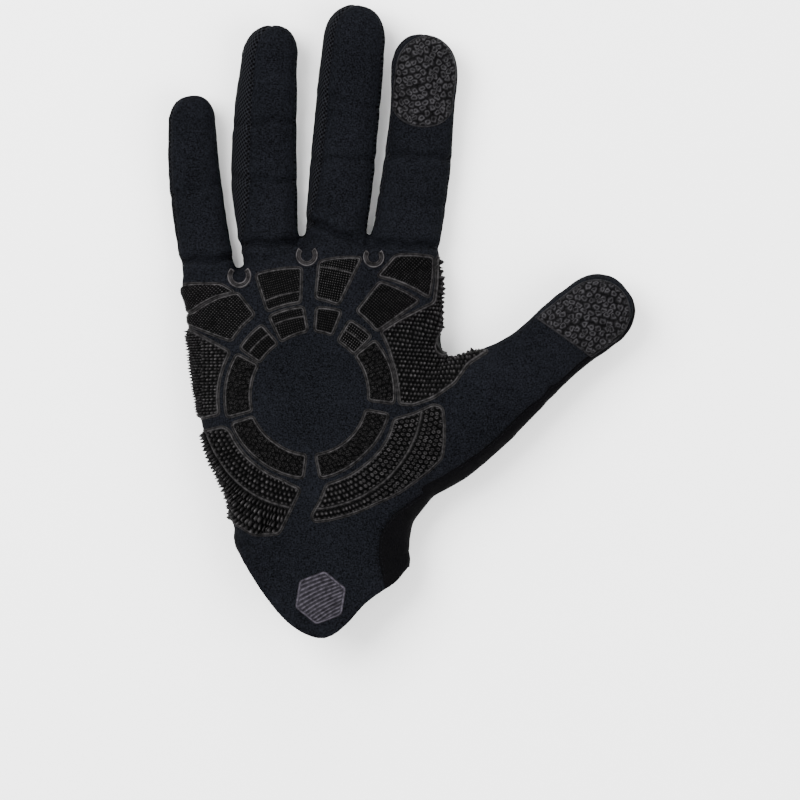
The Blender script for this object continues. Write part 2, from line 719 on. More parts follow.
@dataclass
class Hand:
    """The whole skin: every limb joined, folded, creased and cut into cloth panels."""

    palm: Palm = field(default_factory=Palm)
    thumb: Thumb = field(default_factory=Thumb)
    # a crease is its share of the length, its depth in millimetres and its tilt
    fingers: tuple = (
        Finger(
            name="little", across=-0.3763, length=0.689, widths=(0.825, 0.804, 0.767, 0.725), height=0.868,
            lean=-6.7, bow=-0.096, left_seam=20, right_seam=8,
            creases=((0.17, 1.35, -0.08), (0.52, 0.35, 0.12)), drawn_in=(0.4, 0.6),
        ),
        Finger(
            name="ring", across=-0.1505, length=0.927, widths=(0.979, 1.004, 0.95, 0.858), height=0.961,
            lean=0.2, bow=-0.129, left_seam=52, right_seam=10,
            creases=((0.185, 1.45, 0.04), (0.42, 0.6, -0.08), (0.63, 0.5, 0.1)), drawn_in=(2.0, 0.5),
        ),
        Finger(
            name="middle", across=0.0786, length=1, widths=(0.938, 0.988, 0.983, 0.95), height=1,
            lean=5.4, bow=0, left_seam=38, right_seam=12,
            creases=((0.21, 1.4, -0.3), (0.46, 0.5, 0.1), (0.66, 0.3, -0.1)), drawn_in=(0.4, 0.6),
        ),
        Finger(
            name="index", across=0.331, length=0.901, widths=(1.075, 1.029, 0.975, 1.025), height=0.987,
            lean=6.9, bow=0.108, left_seam=14, right_seam=8,
            creases=((0.19, 1.5, 0.05), (0.53, 0.9, 0.05), (0.36, 0.35, -0.1)), drawn_in=(0.9, 0.4),
        ),
    )
    face: float = 0.86
    wall: float = 1.3
    snap: float = 0.1
    strip_height: float = 3.4
    seam_groove: float = 0.42
    seam_roll: float = 0.16
    hem_roll: float = 0.3
    hem_line: float = 0.25
    # x, y and reach, in millimetres, of where thumb and palm run into each other
    joints: tuple = ((50, 12, 24), (42, -34, 14))
    # from x, y to x, y, how deep and how wide, in millimetres seen from above
    folds: tuple = (
        (50, -1, 60, -15, 0.55, 2.2),
        (54, 6, 70, -9, 0.45, 2.4),
        (63, 8, 80, -4, 0.5, 2.3),
        (72, 17, 87, 4, 0.45, 2.2),
        (80, 20, 90, 9, 0.35, 1.8),
        (66, -14, 78, -6, 0.35, 2.0),
        (-27, -58, -15, -47, 0.5, 2.2),
        (-25, -67, -10, -55, 0.4, 2.4),
        (24, -46, 33, -58, 0.4, 2.2),
        (12, -52, 22, -64, 0.3, 2.6),
        (31, -60, 37, -68, 0.45, 1.8),
        (-14, 14, 10, 20, 0.3, 4.0),
        (-10, -14, 12, -10, 0.25, 4.5),
        (-44, 40, -32, 45, 0.4, 2.0),
        (-17, 48, -9, 52, 0.4, 1.8),
        (31, 44, 44, 47, 0.35, 1.8),
    )

    def covers(self, points: Array) -> Array:
        """Above zero where the palm cloth covers the hand."""
        parts = [self.palm.covers(points), self.thumb.covers(points)]
        return np.maximum.reduce(parts + [finger.covers(points) for finger in self.fingers])

    def between(self, points: Array, index: int) -> Array:
        """Above zero on the strip between two neighbouring fingers."""
        shares = np.array([0.08, 0.4, 0.7, 1.02])
        left, right = (
            finger.place(shares, 0 * shares, 0 * shares)[:, :2]
            for finger in (self.fingers[index], self.fingers[index + 1])
        )
        beyond = (left[3] + right[3]) / 2
        beyond[1] = max(left[3, 1], right[3, 1]) + 1
        outline = np.vstack([right, [beyond], left[::-1]])
        return np.minimum(inside(points, outline), points[:, 2] - self.strip_height)

    def wrinkles(self, points: Array, out: Array) -> Array:
        """How far the cloth is moved along its own direction.

        Folds are grooves along lines, with a soft roll beside them. The slow waves are a few sines
        that cross each other. Both fade where the cloth faces down, because it lies on the floor.
        """
        facing = smoothstep(out[:, 2], -0.2, 0.5)
        total = np.zeros(len(points))
        for x0, y0, x1, y1, depth, width in self.folds:
            dx, dy = x1 - x0, y1 - y0
            along = ((points[:, 0] - x0) * dx + (points[:, 1] - y0) * dy) / (dx * dx + dy * dy)
            share = np.clip(along, 0, 1)
            gap = np.hypot(points[:, 0] - x0 - share * dx, points[:, 1] - y0 - share * dy)
            total += depth * (0.55 * bell(gap - width * 1.7, width) - bell(gap, width * 0.8))
        for finger in self.fingers:
            total += finger.crease(points)
        x, y, z = points[:, :3].T
        waves = np.sin(x * 0.21 + 1.3 * np.sin(y * 0.13)) * np.sin(y * 0.17 + 0.9 * np.sin(x * 0.11 + 2))
        small = np.sin(x * 0.61 + y * 0.37 + np.sin(y * 0.31)) * np.sin(y * 0.53 - x * 0.29 + z * 0.4)
        return (total + 0.22 * waves + 0.07 * small) * facing + 0.05 * small

    def folded(self) -> Skin:
        """Joins the limbs, smooths where thumb and palm meet, and moves the cloth at folds and seams."""
        limbs = [self.palm.rings(), self.thumb.rings()] + [finger.rings() for finger in self.fingers]
        skin = remeshed(joined(limbs), self.face)
        everywhere = np.ones(len(skin.points))
        skin.relax(7, everywhere)
        x, y = skin.points[:, 0], skin.points[:, 1]
        joint = sum(bell(np.hypot(x - across, y - up), reach) for across, up, reach in self.joints)
        skin.relax(40, np.clip(joint, 0, 1))
        out = skin.normals()
        move = self.wrinkles(skin.points, out)
        seam = self.covers(skin.points)
        seams = [seam]
        for index in range(3):
            seams.append(np.where(seam < 0, self.between(skin.points, index), 9))
        gap = np.minimum.reduce([np.abs(value) for value in seams])
        move += self.seam_roll * bell(gap - 1.7, 1.0) - self.seam_groove * bell(gap, 0.75)
        edge = self.palm.kept(skin.points)
        move += self.hem_roll * bell(edge - 2.0, 1.3) - self.hem_line * bell(edge - 4.6, 0.8)
        skin.points += out * move[:, None]
        skin.points[:, :2] += out[:, :2] * self.palm.bulge(skin.points)[:, None]
        skin.points[:, 2] = np.maximum(skin.points[:, 2], 0)
        return skin

    def skin(self) -> tuple[Skin, dict[str, Array]]:
        """Cuts the folded skin at the cuff's edge and along its seams.

        Returns:
            The skin, and for each cloth panel which triangles are its own.
        """
        skin = self.folded()
        kept, _, side = skin.cut(self.palm.kept(skin.points), self.snap)
        skin = kept.part(side > 0)
        skin, _, side = skin.cut(self.covers(skin.points), self.snap)
        panel = np.where(side > 0, 0, -1)
        for index in range(3):
            skin, parent, side = skin.cut(self.between(skin.points, index), self.snap)
            panel = np.where((side > 0) & (panel[parent] < 0), index + 1, panel[parent])
        skin, parent, side = skin.cut(self.palm.radial(skin.points), self.snap)
        panel = np.where(panel[parent] < 0, np.where(side > 0, 4, 5), panel[parent])
        names = (
            "palm_panel",
            "fourchette_little_ring",
            "fourchette_ring_middle",
            "fourchette_middle_index",
            "thumb_back_panel",
            "back_panel",
        )
        return skin, {name: panel == index for index, name in enumerate(names)}


class Tree:
    """The skin as something that can be asked for its nearest place."""

    def __init__(self, skin: Skin) -> None:
        """Takes the skin's places and triangles in millimetres."""
        points = [tuple(point) for point in skin.points[:, :3].tolist()]
        self.tree = BVHTree.FromPolygons(points, skin.triangles.tolist())
        self.out = skin.normals()
        self.triangles = skin.triangles
        self.points = skin.points[:, :3]

    def nearest(self, points: Array) -> tuple[Array, Array]:
        """The nearest places on the skin and the directions out there.

        The direction is mixed from the triangle's three corners by how near each one is.
        """
        found = [self.tree.find_nearest(point) for point in points.tolist()]
        places = np.array([hit[0] for hit in found])
        corners = self.triangles[np.array([hit[2] for hit in found])]
        a, b, c = (self.points[corners[:, k]] for k in range(3))
        whole = np.cross(b - a, c - a)
        size = np.maximum((whole**2).sum(1), 1e-12)
        v = (np.cross(places - a, c - a) * whole).sum(1) / size
        w = (np.cross(b - a, places - a) * whole).sum(1) / size
        out = self.out[corners[:, 0]] * (1 - v - w)[:, None]
        out = out + self.out[corners[:, 1]] * v[:, None] + self.out[corners[:, 2]] * w[:, None]
        return places, out / np.maximum(np.linalg.norm(out, axis=1), 1e-9)[:, None]

    def top(self, points: Array) -> tuple[Array, Array]:
        """The highest places on the skin over those XY places that are on it, and the directions out."""
        down = Vector((0, 0, -1))
        starts = [Vector((x, y, 80)) for x, y in points[:, :2].tolist()]
        found = [self.tree.ray_cast(start, down)[0] for start in starts]
        return self.nearest(np.array([tuple(place) for place in found if place]))


@dataclass
class Chart:
    """A flat map of the skin round one place: every ray from it is walked over the skin."""

    tree: Tree
    centre: tuple[float, float]
    reach: float
    step: float = 0.5
    rays: int = 360

    def __post_init__(self) -> None:
        """Walks all the rays together. Each step stays in the skin's plane and is put back on it."""
        angle = np.linspace(0, 2 * np.pi, self.rays, endpoint=False)
        start, out = self.tree.top(np.array([self.centre]))
        place = np.repeat(start, self.rays, axis=0)
        out = np.repeat(out, self.rays, axis=0)
        heading = np.column_stack([np.cos(angle), np.sin(angle), 0 * angle])
        places, outs = [place], [out]
        for _ in range(int(self.reach / self.step) + 1):
            heading = heading - out * (heading * out).sum(1)[:, None]
            heading = heading / np.maximum(np.linalg.norm(heading, axis=1), 1e-9)[:, None]
            place, out = self.tree.nearest(place + heading * self.step)
            places.append(place)
            outs.append(out)
        self.table = np.concatenate([np.stack(places, axis=1), np.stack(outs, axis=1)], axis=2)

    def at(self, u: Array, v: Array) -> tuple[Array, Array]:
        """The places on the skin and the directions out for map places, mixed from the four nearest."""
        ray = (np.arctan2(v, u) / (2 * np.pi) % 1) * self.rays
        far = np.clip(np.hypot(u, v) / self.step, 0, self.table.shape[1] - 1.001)
        i, j = np.floor(ray).astype(int), np.floor(far).astype(int)
        s, t = (ray - i)[:, None], (far - j)[:, None]
        i, k = i % self.rays, (i + 1) % self.rays
        low = self.table[i, j] * (1 - s) + self.table[k, j] * s
        high = self.table[i, j + 1] * (1 - s) + self.table[k, j + 1] * s
        mixed = low * (1 - t) + high * t
        out = mixed[:, 3:]
        return mixed[:, :3], out / np.maximum(np.linalg.norm(out, axis=1), 1e-9)[:, None]

    def sheet(self, low: Array, high: Array, turn: float, cell: float) -> Skin:
        """An even grid over part of the map.

        Args:
            low: the grid's lowest corner, in map axes turned by the angle.
            high: its highest corner.
            turn: the angle.
            cell: the grid's step.

        Returns:
            A skin with columns x, y, z, relief, u, v, a, b and the direction out, where u and v are
            map places and a and b are distances along the grid's own axes.
        """
        a, b = (np.arange(low[k], high[k] + cell, cell) for k in range(2))
        grid_a, grid_b = (values.ravel() for values in np.meshgrid(a, b, indexing="ij"))
        u = grid_a * math.cos(turn) - grid_b * math.sin(turn)
        v = grid_a * math.sin(turn) + grid_b * math.cos(turn)
        places, out = self.at(u, v)
        index = np.arange(len(u)).reshape(len(a), len(b))
        c0, c1, c2, c3 = index[:-1, :-1], index[1:, :-1], index[1:, 1:], index[:-1, 1:]
        triangles = np.stack([c0, c1, c2, c0, c2, c3], -1).reshape(-1, 3)
        columns = np.column_stack([places, 0 * u, u, v, grid_a, grid_b, out])
        return Skin(columns, triangles)


def rounded(outline: Array, radius: float, parts: int = 5) -> Array:
    """Rounds the corners of a closed outline: each becomes a short parabola."""
    before = np.roll(outline, 1, axis=0) - outline
    after = np.roll(outline, -1, axis=0) - outline
    start = outline + before * np.minimum(0.45, radius / np.linalg.norm(before, axis=1))[:, None]
    end = outline + after * np.minimum(0.45, radius / np.linalg.norm(after, axis=1))[:, None]
    t = np.linspace(0, 1, parts)[None, :, None]
    curve = start[:, None] * (1 - t) ** 2 + 2 * outline[:, None] * t * (1 - t) + end[:, None] * t**2
    return curve.reshape(-1, 2)


def jitter(row: Array, column: Array, seed: float) -> Array:
    """A number between 0 and 1 for each cell: the broken part of a large sine of its place."""
    value = np.sin(row * 127.1 + column * 311.7 + seed * 74.7) * 43758.5453
    return value - np.floor(value)


def cells(a: Array, b: Array, pitch: float, loose: float, seed: float) -> tuple[Array, Array]:
    """Distance to the nearest of many scattered seeds.

    Args:
        a: places along one axis.
        b: places along the other.
        pitch: the seeds' mean distance.
        loose: how far a seed leaves its lattice, as a share of the pitch.
        seed: which scatter.

    Returns:
        The distance, and how much further away the second nearest seed is.
    """
    row, column = np.round(a / pitch), np.round(b / pitch)
    best, second = np.full(a.shape, 1e9), np.full(a.shape, 1e9)
    for down in (-2, -1, 0, 1, 2):
        for right in (-1, 0, 1):
            i, j = row + down, column + right
            x = (i + (jitter(i, j, seed) - 0.5) * loose + 0.5 * (j % 2) - 0.25) * pitch
            y = (j + (jitter(i, j, seed + 1) - 0.5) * loose) * pitch
            gap = np.hypot(a - x, b - y)
            second = np.minimum(second, np.maximum(best, gap))
            best = np.minimum(best, gap)
    return best, second - best


def studs(
    across: Array,
    along: Array,
    spacing: tuple[float, float],
    foot: tuple[float, float],
    seed: float,
    stagger: float = 0.5,
) -> tuple[Array, Array]:
    """Studs in rows, every other row moved on by part of a step.

    Args:
        across: places across the rows.
        along: places along the rows.
        spacing: the step across and along.
        foot: a stud's radius across and along.
        seed: which scatter of sizes.
        stagger: how far every other row is moved on, as a share of a step.

    Returns:
        The distance from the nearest stud's middle as a share of its foot, and the stud's own number.
    """
    row = np.round(across / spacing[0])
    shift = stagger * (row % 2)
    step = np.round(along / spacing[1] - shift)
    size = jitter(row, step, seed)
    lean = (jitter(row, step, seed + 1) - 0.5) * 0.3
    gap_across = (across - row * spacing[0]) / foot[0]
    gap_along = (along - (step + shift + lean) * spacing[1]) / foot[1]
    return np.hypot(gap_across, gap_along), size


def cone(gap: Array) -> Array:
    """A stud's height from 0 to 1: it falls off straight from its tip, a little rounded."""
    return np.clip(1 - gap, 0, 1) ** 0.85


@dataclass
class Pad:
    """One silicone grip pad: a thin sheet with beaded edges, a sunk floor and nubs on it."""

    name: str
    relief: Relief
    corners: tuple
    ridge: float = 0.0
    bare_radius: float = 21.5
    hub: float = 15.0
    map_edge: float = 86.0
    lowest: float = 7.0
    floor: float = 0.25
    bead: float = 0.55
    flange: float = 0.7
    pitch: float = 0.9
    ring_pitch: float = 1.4
    heel_ridge: float = 41.4
    # the small half-round rim at the thumb's crotch: its middle and its radius
    loop: tuple = (49.6, 19.0)
    loop_radius: float = 3.3

    def outline(self) -> Array:
        """Its corners turned into places, with long edges divided so that they follow arcs."""
        rows = np.array(self.corners, float)
        points = []
        for (angle, radius), (next_angle, next_radius) in zip(rows, np.roll(rows, -1, axis=0)):
            turn = (next_angle - angle + 180) % 360 - 180
            parts = max(1, round(abs(turn) / 6))
            share = np.arange(parts) / parts
            at = np.radians(angle + turn * share)
            reach = radius + (next_radius - radius) * share
            reach = reach * self.bare_radius
            points.append(np.column_stack([np.cos(at) * reach, np.sin(at) * reach]))
        return rounded(np.vstack(points), 1.4)

    def nubs(self, sheet: Skin) -> tuple[Array, Array]:
        """The height of what stands on the floor, and how light it is."""
        u, v, a, b = sheet.points[:, 4:8].T
        reach = np.hypot(u, v)
        if self.relief is Relief.LATTICE:
            peak = 4 * np.abs(a / self.pitch % 1 - 0.5) * np.abs(b / self.pitch % 1 - 0.5)
            ridge = bell(reach - self.ridge, 0.25)
            return np.maximum(0.6 * peak**0.8, 0.5 * ridge), np.maximum(peak**4.6, 0.4 * ridge)
        if self.relief is Relief.DONUTS:
            gap, spare = cells(a, b, self.ring_pitch, 0.5, 3)
            ring = bell(gap - 0.37, 0.14) * smoothstep(spare, 0.03, 0.2)
            return 0.55 * ring, 0.24 * ring**3
        if self.relief is Relief.SIDE_ROWS:
            share = smoothstep(-u, 39, 41)
            gap, size = studs(v, u, (1.22, 1.65), (0.58, 0.95), 5, 0.2)
            fine, fine_size = studs(v, u, (1.0, 1.2), (0.5, 0.62), 6)
            height = (0.8 + 0.4 * size) * cone(gap) * (1 - share)
            height = height + (1.0 + 0.9 * fine_size) * cone(fine) * share
            light = cone(gap) ** 2.2 * (0.4 + 0.6 * size) * (1 - share)
            return height, light + 0.8 * cone(fine) ** 2.2 * (0.4 + 0.6 * fine_size) * share
        if self.relief is Relief.WEB_ROWS:
            gap, size = studs(v + 0.06 * u, u, (1.62, 1.42), (0.82, 0.74), 9)
            side = smoothstep(reach, 55, 66)
            gone = np.hypot(u - self.loop[0], v - self.loop[1]) - self.loop_radius
            rim = 0.8 * bell(gone, 0.28)
            left = smoothstep(gone, 0.4, 0.7)
            height = (0.85 + 0.6 * size + 0.5 * side) * cone(gap) * left
            light = cone(gap) ** 2.3 * (0.3 + 0.7 * size) * left
            return np.maximum(height, 0.5 * rim), np.maximum(light, 0.7 * rim)
        return self.heel(reach, np.arctan2(v, u))

    def heel(self, reach: Array, angle: Array) -> tuple[Array, Array]:
        """Two bands of studs along arcs, with a smooth ridge between them."""
        ridge = bell(reach - self.heel_ridge, 0.35)
        inner = smoothstep(self.heel_ridge - reach, 0.5, 0.9)
        outer = smoothstep(reach - self.heel_ridge, 0.5, 0.9)
        low, low_size = studs(reach - 35.0, angle * 37, (1.9, 1.7), (0.98, 0.78), 12)
        if self.relief is Relief.HEEL_SPIKES:
            high, high_size = studs(reach - 43.6, angle * 46, (2.6, 1.4), (1.6, 0.66), 15)
            body = (0.85 + 0.6 * low_size) * cone(low) * inner
            body = body + (1.5 + 1.0 * high_size) * cone(high) * outer
            light = cone(low) ** 2.2 * (0.3 + 0.7 * low_size) * inner
            light = light + cone(high) ** 2.0 * (0.3 + 0.7 * high_size) * outer
        else:
            high, high_size = studs(reach - 43.4, angle * 46, (1.85, 1.6), (0.92, 0.78), 15)
            round_top = smoothstep(angle, -1.25, -0.75)
            first = cone(low) * (1 - round_top) + 0.8 * bell(low - 0.5, 0.24) * round_top
            last = cone(high) * (1 - round_top) + 0.8 * bell(high - 0.5, 0.24) * round_top
            body = (0.8 + 0.5 * low_size) * first * inner + (0.85 + 0.6 * high_size) * last * outer
            light = first**2.2 * (0.45 + 0.55 * low_size) * inner
            light = 1.1 * (light + last**2.2 * (0.45 + 0.55 * high_size) * outer)
        return np.maximum(body, 0.5 * ridge), np.maximum(light, 0.4 * ridge)

    def build(self, chart: Chart) -> bpy.types.Object:
        """Makes the sheet: a grid over the pad, cut to its outline, raised by its height."""
        outline = self.outline()
        middle = outline.mean(0)
        turn = math.atan2(middle[1], middle[0])
        if self.relief in (Relief.SIDE_ROWS, Relief.WEB_ROWS):
            turn = 0.0
        axes = np.array([[math.cos(turn), math.sin(turn)], [-math.sin(turn), math.cos(turn)]])
        own = outline @ axes.T
        fine = self.relief in (Relief.LATTICE, Relief.DONUTS)
        margin = 2 if fine else 16
        low = np.maximum(own.min(0) - margin, -self.map_edge)
        high = np.minimum(own.max(0) + margin, self.map_edge)
        cell = {Relief.LATTICE: self.pitch / 4, Relief.DONUTS: 0.24}.get(self.relief, 0.28)
        sheet = chart.sheet(low, high, turn, cell)
        far = np.hypot(sheet.points[:, 4], sheet.points[:, 5])
        near = sheet.points[sheet.triangles][:, :, :2]
        value = np.minimum(inside(sheet.points, outline), sheet.points[:, 2] - self.lowest)
        value = np.where(far < self.hub, -5, value + self.flange)
        lost = (value[sheet.triangles] < -1).any(1) | (np.ptp(near, axis=1).max(1) > 1.5)
        sheet = Skin(np.column_stack([sheet.points, value]), sheet.triangles[~lost])
        sheet, _, side = sheet.cut(sheet.points[:, 11], 0.03)
        sheet = largest(sheet.part(side > 0))
        depth = np.maximum(sheet.points[:, 11], 0)
        nubs, light = self.nubs(sheet)
        inner = depth - self.flange
        well = smoothstep(inner, 0.45, 0.75)
        thin = bell(depth - 0.2, 0.13)
        bead = bell(inner - 0.26, 0.2)
        height = -0.12 + 0.2 * smoothstep(depth, 0, 0.15) + 0.1 * thin
        height = height + self.floor * smoothstep(inner, 0, 0.4)
        height = np.maximum(height + nubs * well, self.bead * bead)
        light = np.maximum(0.09 * (inner < 0.1) + 0.18 * thin, np.maximum(0.55 * bead, light * well))
        sheet.points[:, 3] = np.clip(light, 0, 1)
        out = sheet.points[:, 8:11]
        base = sheet.points[:, :3].copy()
        sheet.points[:, :3] = base + out * (height + 0.04)[:, None]
        closed = sheet.backed(base - out * 0.25)
        return closed.mesh(self.name + "_relief")


def largest(skin: Skin) -> Skin:
    """Keeps the largest connected part: the smallest number in each part spreads along the edges."""
    edges = skin.edges()
    mark = np.arange(len(skin.points))
    while True:
        low = np.minimum(mark[edges[:, 0]], mark[edges[:, 1]])
        new = mark.copy()
        np.minimum.at(new, edges[:, 0], low)
        np.minimum.at(new, edges[:, 1], low)
        new = new[new]
        if (new == mark).all():
            break
        mark = new
    counts = np.bincount(mark[skin.triangles[:, 0]], minlength=len(mark))
    return skin.part(mark[skin.triangles[:, 0]] == counts.argmax())


@dataclass
class Grip:
    """All grip pads, each by its corners: an angle and a radius as a share of the bare circle's."""

    pads: tuple = (
        Pad(
            "pad_little_tip", Relief.LATTICE, (
                (126, 2.17), (128.5, 2.42), (137, 2.79), (143, 3.05), (149, 3.0), (146, 2.5),
                (134, 2.33),
            ),
        ),
        Pad(
            "pad_little", Relief.LATTICE, (
                (124, 1.66), (125, 2.13), (133, 2.27), (145, 2.43), (149.5, 2.75), (150, 2.5),
                (147, 1.85), (145, 1.62),
            ),
        ),
        Pad(
            "pad_ring", Relief.LATTICE,
            ((95.5, 1.59), (93.6, 2.17), (114, 2.25), (116.5, 1.6)), ridge=38.2,
        ),
        Pad(
            "pad_ring_small", Relief.LATTICE,
            ((92, 1.1), (94, 1.51), (117, 1.51), (117.5, 1.04)), ridge=29.0,
        ),
        Pad(
            "pad_little_small", Relief.LATTICE,
            ((121.5, 1.04), (124, 1.45), (145.5, 1.43), (146, 1.02)), ridge=27.0,
        ),
        Pad(
            "pad_ulnar_inner", Relief.DONUTS,
            ((149, 1.02), (150, 1.42), (172, 1.43), (194.5, 1.44), (194.5, 1.01), (172, 1.01)),
        ),
        Pad(
            "pad_heel_inner_ulnar", Relief.DONUTS,
            ((200, 1.02), (199.5, 1.4), (232, 1.38), (265.5, 1.39), (266.5, 1.0), (233, 0.99)),
        ),
        Pad(
            "pad_ulnar", Relief.SIDE_ROWS,
            ((151, 1.54), (151, 2.75), (170, 2.6), (191.5, 2.35), (191.5, 1.56), (170, 1.55)),
        ),
        Pad(
            "pad_heel_ulnar", Relief.HEEL_SPIKES, (
                (199.5, 1.55), (197.5, 2.35), (215, 2.45), (232, 2.5), (240, 2.5), (248, 2.53),
                (257.5, 2.38), (264.5, 1.58), (252, 1.49), (234, 1.48), (218, 1.48), (204, 1.47),
            ),
        ),
        Pad(
            "pad_middle", Relief.LATTICE,
            ((72.5, 1.62), (69.5, 2.5), (86, 2.28), (86.5, 1.66)), ridge=47.2,
        ),
        Pad("pad_middle_small", Relief.LATTICE, ((70, 1.1), (69.5, 1.53), (85.5, 1.5), (85.5, 1.11))),
        Pad("pad_index_tip", Relief.LATTICE, ((39.5, 2.62), (48.5, 3.15), (58.5, 2.8), (60.5, 2.33))),
        Pad("pad_index", Relief.LATTICE, ((44, 1.58), (41, 2.46), (58.5, 2.27), (61, 1.64))),
        Pad(
            "pad_index_small", Relief.LATTICE,
            ((43.5, 1.03), (44, 1.45), (62, 1.45), (63, 1.05)), ridge=27.2,
        ),
        Pad(
            "pad_radial_inner", Relief.DONUTS,
            ((356, 1.0), (355, 1.43), (18, 1.45), (40.5, 1.45), (41.5, 1.03), (18, 1.01)),
        ),
        Pad(
            "pad_heel_inner_radial", Relief.DONUTS,
            ((276, 1.0), (277.5, 1.4), (311, 1.35), (347, 1.37), (346, 0.98), (312, 0.99)),
        ),
        Pad(
            "pad_heel_radial", Relief.HEEL_RINGS, (
                (271, 2.02), (272, 2.12), (287, 2.11), (302, 2.13), (321, 2.29), (335, 2.47),
                (355, 2.25), (356, 2.1), (344.5, 1.48), (329, 1.51), (305, 1.5), (281, 1.52),
            ),
        ),
        Pad(
            "pad_thumb_web", Relief.WEB_ROWS, (
                (355, 1.52), (355, 1.75), (359, 2.08), (5, 2.45), (11.5, 2.74), (14.2, 3.12),
                (16.4, 2.8), (16.8, 2.5), (19.5, 2.34), (24, 2.34), (26.6, 2.5), (27.2, 2.95), (31, 3.0),
                (39, 3.2), (46.5, 3.5), (47.5, 3.17), (37, 2.64), (40, 2.05), (42, 1.62), (24, 1.52),
                (7, 1.5),
            ),
        ),
    )

    def build(self, chart: Chart) -> list[bpy.types.Object]:
        """Makes every pad and lets it stand for its node."""
        made = []
        for pad in self.pads:
            piece = pad.build(chart)
            settle(piece, Silicone(), pad.name)
            made.append(piece)
        return made


